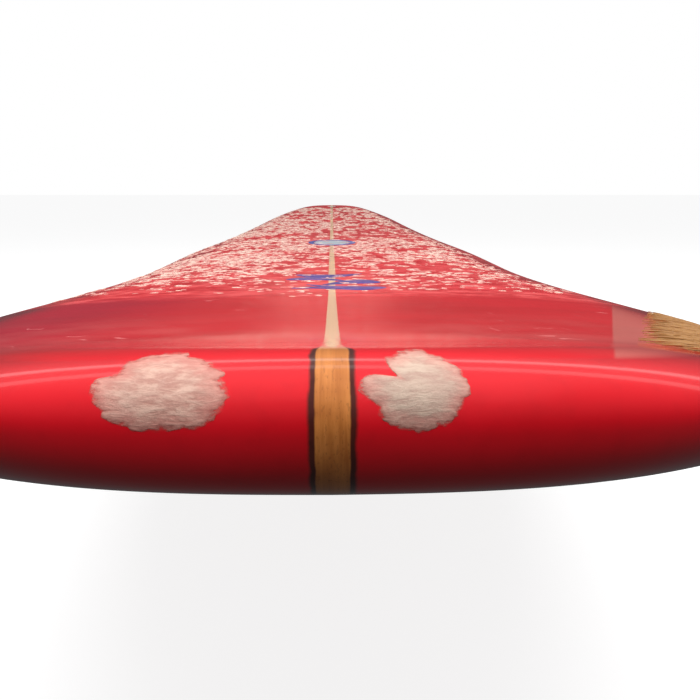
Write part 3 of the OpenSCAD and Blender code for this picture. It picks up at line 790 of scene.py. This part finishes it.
def repair_mesh(name):
    """The patch of resin as two grids, its face and its back, from its inner edge to just under
    the rail. It narrows to round ends, and stands off in tufts that fade out at its rim."""
    rows, cols = 150, 56
    along = np.linspace(0, 1, rows)[:, None]
    over = np.linspace(0, 1, cols)[None]
    rail_s = np.broadcast_to(REPAIR_FROM + (REPAIR_TO - REPAIR_FROM) * along, (rows, cols))
    wave = smooth_noise(rail_s, np.full_like(rail_s, 0.2), 0.013) - 0.5
    inner = inner_turn(rail_s) + 5 * wave
    round_end = np.clip(1 - (np.abs(along - 0.5) * 2) ** 8, 0, 1) ** 0.5
    turn = inner + (REPAIR_TURN - inner) * (0.5 + (over - 0.5) * (0.12 + 0.88 * round_end))
    fade = np.minimum(1, 8 * np.minimum(along, 1 - along))
    fade = fade * np.minimum(1, 7 * np.minimum(over, 1 - over))
    tuft = smooth_noise(rail_s, turn * 0.0006, 0.0028) * smooth_noise(rail_s, turn * 0.001, 0.02)
    stand = 0.00003 + fade ** 0.5 * (0.0004 + 0.0016 * tuft)
    back = np.full_like(stand, -0.0004)
    grid = np.concatenate([rail_point(rail_s, turn, stand), rail_point(rail_s, turn, back)])
    first_row, first_col = np.arange(cols), np.arange(rows) * cols
    edges = (first_row, first_row + (rows - 1) * cols, first_col, first_col + cols - 1)
    under = rows * cols
    walls = [np.stack([a[:-1], a[1:], a[1:] + under, a[:-1] + under], axis=1) for a in edges]
    faces = np.concatenate([quads(rows, cols), quads(rows, cols, under, True), *walls])
    return welded(mesh_object(name, grid, faces))


place, connect = finish("aged_resin", Coat_Roughness=0.2)
strands = place.place(scale=(30, 420, 30)).noise(1.0, detail=5, rough=0.7, warp=0.4)
amber = place.noise(34, detail=4)
strand_tone = strands.step(0.40, 0.62).blend((0.20, 0.065, 0.016), (0.58, 0.22, 0.085))
resin_made = connect(
    colour=(amber.step(0.50, 0.62) * 0.45).blend(strand_tone, (0.42, 0.30, 0.05)),
    roughness=0.4 + 0.3 * strands,
    bump=strands,
    depth=0.0009,
    coat=0.35 + 0.2 * amber,
)
fixed(repair_mesh("rail_resin"), resin_made, "board", "old_resin", "rail_repair")


def strand_tubes(name, count):
    """Loose glass strands: five-sided tubes, each a line across the repair that drifts along
    it by a sine, and a circle carried along that line that tapers at both ends."""
    sides, steps = 5, 9
    t = np.linspace(0, 1, steps)[None]
    s0 = seed.uniform(REPAIR_FROM + 0.01, REPAIR_TO - 0.01, (count, 1))
    turn = inner_turn(s0) + seed.uniform(-3, 20, (count, 1)) + seed.uniform(5, 16, (count, 1)) * t
    s = s0 + seed.normal(0, 0.005, (count, 1)) * t + 0.0012 * np.sin(6 * t + s0 * 900)
    centre = rail_point(s, turn, 0.0009 + 0.0006 * np.sin(math.pi * t))[:, :, None]
    around = np.linspace(0, 2 * math.pi, sides, endpoint=False)[None, None, :, None]
    radius = seed.uniform(0.0002, 0.0005, (count, 1)) * np.sin(math.pi * (0.05 + 0.9 * t)) ** 0.4
    up = np.stack([np.sin(np.radians(turn)), 0 * turn, np.cos(np.radians(turn))], axis=-1)[:, :, None]
    circle = np.cos(around) * up + np.sin(around) * np.array([0.0, 1.0, 0.0])
    tube = centre + radius[:, :, None, None] * circle
    base = (np.arange(count) * steps * sides)[:, None, None]
    row = base + (np.arange(steps - 1) * sides)[None, :, None]
    k = np.arange(sides)
    after = (k + 1) % sides
    walls = np.stack([row + k, row + k + sides, row + after + sides, row + after], axis=-1)
    caps = [*(base[:, 0] + k), *(base[:, 0] + (steps - 1) * sides + k[::-1])]
    return mesh_object(name, tube, [*walls.reshape(-1, 4), *caps])


place, connect = finish("glass_strand", Coat_Weight=0.5, Coat_Roughness=0.2)
strand_made = connect(
    colour=place.noise(120).blend((0.30, 0.11, 0.030), (0.50, 0.26, 0.075)),
    roughness=0.35 + 0.2 * place.noise(300),
    bump=place.noise(1200),
    depth=0.0001,
)
fixed(strand_tubes("rail_strands", 700), strand_made, "board", "old_resin", "rail_repair")


# ---------------------------------------------------------------- deck plugs
# A moulded white cup is glued into the deck near the tail, with a steel bar for the leash, and
# a small slotted vent plug sits ahead of it.
def moulded(name, pale, dusty):
    """Moulded plastic: faintly pitted, dusty in places, and duller where it is dusty."""
    place, connect = finish(name, Coat_Weight=0.2, Coat_Roughness=0.3)
    dust = place.noise(90, detail=6, rough=0.65)
    return connect(
        colour=dust.step(0.42, 0.70).blend(pale, dusty),
        roughness=0.35 + 0.3 * dust,
        bump=place.noise(700, detail=3),
        depth=0.0002,
    )


def brushed(name, pale, dark, along):
    """Bright metal with fine drawn lines and a little tarnish."""
    place, connect = finish(name, Metallic=1.0)
    lines = place.place(scale=along).noise(1.0, detail=3)
    return connect(
        colour=place.noise(150, detail=5).step(0.4, 0.75).blend(pale, dark),
        roughness=0.22 + 0.28 * lines,
        bump=lines,
        depth=0.0001,
    )


ACROSS = (60, 1500, 1500)
UPRIGHT = (1500, 1500, 60)
paint_node("leash_cup", moulded("cup_plastic", (0.80, 0.78, 0.72), (0.62, 0.55, 0.48)))
paint_node("vent_plug", moulded("plug_plastic", (0.82, 0.80, 0.76), (0.60, 0.52, 0.46)))
paint_node("leash_bar", brushed("bar_steel", (0.64, 0.64, 0.63), (0.42, 0.38, 0.34), ACROSS))


# ---------------------------------------------------------------- fin box
# A moulded slotted box is routed into the bottom and glued flush. Its hardware is a brass roll
# pin across the fin's tongue, and a steel screw that pulls up a nut plate.
paint_node("fin_box", moulded("box_plastic", (0.74, 0.72, 0.68), (0.55, 0.50, 0.45)))
paint_node("fin_roll_pin", brushed("pin_brass", (0.78, 0.56, 0.24), (0.45, 0.28, 0.12), ACROSS))
paint_node("fin_screw", brushed("screw_steel", (0.66, 0.66, 0.66), (0.40, 0.38, 0.36), UPRIGHT))
paint_node("fin_nut_plate", brushed("plate_steel", (0.60, 0.61, 0.62), (0.38, 0.36, 0.34), ACROSS))


# ---------------------------------------------------------------- fin
# The fin is cut from black fibreglass panel and foiled by hand to a blunt leading edge, a thin
# trailing edge and a raked tip. Its tongue slides in the box, behind a tab for the screw.
FIN_BASE = 0.168
FIN_DEPTH = 0.228
FIN_RAKE = 0.062
FIN_THICK = 0.009
ROOT_GAP = 0.0010
TIP_SHARE = 0.18
SLOT_WIDTH = 0.0097
TONGUE_WIDTH = SLOT_WIDTH - 0.0002
TONGUE_DEPTH = 0.0166
TONGUE_FOOT = -0.0015
TAB_LENGTH = 0.022
TAB_HEIGHT = 0.005
TONGUE_FRONT = (TAB_LENGTH - FIN_BASE) / 2
TONGUE_REAR = TONGUE_FRONT + FIN_BASE
BOX_LENGTH = 0.267
BOX_TO_TAIL = 0.140
straight_s = LENGTH - STRAIGHT_TAIL
tail_slope = float(rocker(np.array(LENGTH)) - rocker(np.array(straight_s))) / STRAIGHT_TAIL
tail_angle = math.atan(tail_slope)
box_middle_s = LENGTH - BOX_TO_TAIL - BOX_LENGTH / 2 * math.cos(tail_angle)
box_middle_y = box_middle_s - ORIGIN_AT
box_middle_z = float(rocker(np.array(box_middle_s)))


def on_bottom(points):
    """Moves points from the fin box's own frame, with its origin on the bottom at the middle of
    the box, to the board's frame, which is turned by the slope of the tail."""
    x, y, z = np.moveaxis(np.asarray(points), -1, 0)
    c, s = math.cos(tail_angle), math.sin(tail_angle)
    return np.stack([x, box_middle_y + y * c - z * s, box_middle_z + y * s + z * c], axis=-1)


def foil_mesh(name):
    """The foil: rows from root to tip. The chord shrinks as a power of the depth and rounds off
    at the tip, the trailing edge sweeps back, and the section is a sine that is fuller in
    front."""
    f = np.sin(np.linspace(0, math.pi / 2, 80))[:, None]
    a = np.linspace(0, 2 * math.pi, 65)[None]
    chord = FIN_BASE * (1 - (1 - TIP_SHARE) * f ** 1.5) * np.sqrt(np.maximum(0.0004, 1 - f ** 12))
    bow = 0.14 * FIN_BASE * np.sin(math.pi * f ** 0.9)
    trail = TONGUE_REAR + FIN_RAKE * f ** 1.7 - bow
    thick = FIN_THICK * (1 - 0.55 * f) * np.sqrt(chord / FIN_BASE)
    u = (1 - np.cos(a)) / 2
    x = np.sign(math.pi - a) * thick / 2 * np.abs(np.sin(a)) ** 0.8 * (1 - 0.45 * u)
    z = np.broadcast_to(-ROOT_GAP - (FIN_DEPTH - ROOT_GAP) * f, x.shape)
    points = on_bottom(np.stack([x, trail - chord + chord * u, z], axis=-1))
    rows, cols = x.shape
    root = np.arange(cols - 1)
    tip = (rows - 1) * cols + root[::-1]
    return welded(mesh_object(name, points, [*quads(rows, cols), root, tip]), 2e-6)


def block(name, y0, y1, z0, z1):
    """A plain bar of the tongue's width between two ends and two heights."""
    half = TONGUE_WIDTH / 2
    corners = [(x, y, z) for x in (-half, half) for y in (y0, y1) for z in (z0, z1)]
    faces = [(0, 1, 3, 2), (4, 6, 7, 5), (0, 4, 5, 1), (2, 3, 7, 6), (0, 2, 6, 4), (1, 5, 7, 3)]
    made = welded(mesh_object(name, on_bottom(corners), faces))
    edge = made.modifiers.new("eased_edges", "BEVEL")
    edge.width = 0.0004
    edge.segments = 2
    made.data.polygons.foreach_set("use_smooth", np.zeros(len(faces), dtype=bool))
    return made


def screw_tab(name):
    """The tab in front of the tongue: one closed grid of rings, from its square outside to the
    seat of the screw's head, the hole and back over the top."""
    turn = np.radians(np.linspace(0, 360, 97))
    middle = TONGUE_FRONT - TAB_LENGTH / 2
    to_side = np.abs(np.cos(turn)) / (TONGUE_WIDTH / 2)
    to_end = np.abs(np.sin(turn)) / (TAB_LENGTH / 2)
    square = 1 / np.maximum(to_side, to_end)
    seat, hole, seat_top = 0.0040, 0.0022, 0.0026
    rings = (
        (square, 0.0),
        (seat, 0.0),
        (seat, seat_top),
        (hole, seat_top),
        (hole, TAB_HEIGHT),
        (square, TAB_HEIGHT),
        (square, 0.0),
    )
    points = [
        np.stack([r * np.cos(turn), middle + r * np.sin(turn), np.full_like(turn, z)], axis=-1)
        for r, z in rings
    ]
    made = welded(mesh_object(name, on_bottom(points), quads(len(rings), len(turn))))
    made.data.polygons.foreach_set("use_smooth", np.zeros(len(made.data.polygons), dtype=bool))
    return made


place, connect = finish("fin_glass", Coat_Weight=0.8, Coat_Roughness=0.12)
plies = place.place(scale=(1, 0.35, 1)).noise(60, detail=4, warp=0.5)
cloth = place.cells(420)
fin_made = connect(
    colour=plies.step(0.4, 0.65).blend((0.010, 0.010, 0.012), (0.040, 0.042, 0.048)),
    roughness=0.25 + 0.15 * plies,
    bump=cloth * 0.3 + plies,
    depth=0.0002,
)
fin_pieces = (
    foil_mesh("fin_foil"),
    block("fin_tongue", TONGUE_FRONT, TONGUE_REAR, TONGUE_FOOT, TONGUE_DEPTH),
    screw_tab("fin_tab"),
)
for piece in fin_pieces:
    fixed(piece, fin_made, "fin", "fin_fibreglass", "fin")
paint_node("fin", fin_made)


# ---------------------------------------------------------------- studio
# A plain pale floor at the fin's tip and a plain white surround. The surround lights the board
# softly, dim from below and brighter from overhead. One soft box lights the nose from the
# front, one lights the deck, and two long strips draw streaks along the lip of the nose.
bpy.context.scene.view_settings.view_transform = "Standard"
floor_z = cad_box[0][2]
floor = mesh_object(
    "studio_floor",
    [(-30, -30, floor_z), (30, -30, floor_z), (30, 60, floor_z), (-30, 60, floor_z)],
    [(0, 1, 2, 3)],
)
place, connect = finish(
    "studio_paint", Specular_IOR_Level=0.1, Emission_Color=(1, 1, 1, 1), Emission_Strength=0.86)
floor.data.materials.append(connect(
    colour=place.noise(3).blend((0.30, 0.30, 0.30), (0.32, 0.32, 0.32)),
    roughness=0.85 + 0.1 * place.noise(5),
    bump=place.noise(40),
    depth=0.0001,
))
floor.visible_glossy = False
floor.visible_diffuse = False

surround = bpy.data.worlds.new("studio_air")
surround.use_nodes = True
sky = Wire(surround.node_tree)
rise = sky.add("ShaderNodeTexCoord", {}).part(2)
seen = sky.add("ShaderNodeLightPath", {})
glow = rise.step(0.02, 0.9).blend((0.070, 0.070, 0.072), (0.34, 0.34, 0.345))
background = surround.node_tree.nodes["Background"]
surround.node_tree.links.new(seen.blend(glow, (1, 1, 1)).socket, background.inputs["Color"])
bpy.context.scene.world = surround


def soft_lamp(name, at, aim, width, height, power, glossy=True):
    """A rectangular soft box that faces a point."""
    data = bpy.data.lights.new(name, "AREA")
    data.shape = "RECTANGLE"
    data.size = width
    data.size_y = height
    data.energy = power
    lamp = bpy.data.objects.new(name, data)
    away = np.array(at) - np.array(aim)
    lamp.location = at
    tilt = math.atan2(math.hypot(away[0], away[1]), away[2])
    lamp.rotation_euler = (tilt, 0, math.atan2(away[1], away[0]) + math.pi / 2)
    lamp.visible_glossy = glossy
    lamp.visible_camera = False
    bpy.context.collection.objects.link(lamp)


NOSE_HEIGHT = 0.12
STRIP_AWAY = 3.0
nose = (0.0, nose_y, NOSE_HEIGHT)
over_deck = nose_y + 0.80
soft_lamp("nose_key", (0.0, nose_y - 0.55, 1.50), nose, 1.8, 0.8, 17.5, glossy=False)
soft_lamp("deck_box", (0.0, over_deck, 2.70), (0.0, over_deck, 0.1), 2.4, 3.4, 84, glossy=False)
for name, lift, wide, power in (("low_strip", 33, 0.30, 6.5), ("high_strip", 52, 0.45, 8)):
    away_y = STRIP_AWAY * math.cos(math.radians(lift))
    away_z = STRIP_AWAY * math.sin(math.radians(lift))
    soft_lamp(name, (0.0, nose_y + away_y, NOSE_HEIGHT + away_z), nose, 8.0, wide, power)
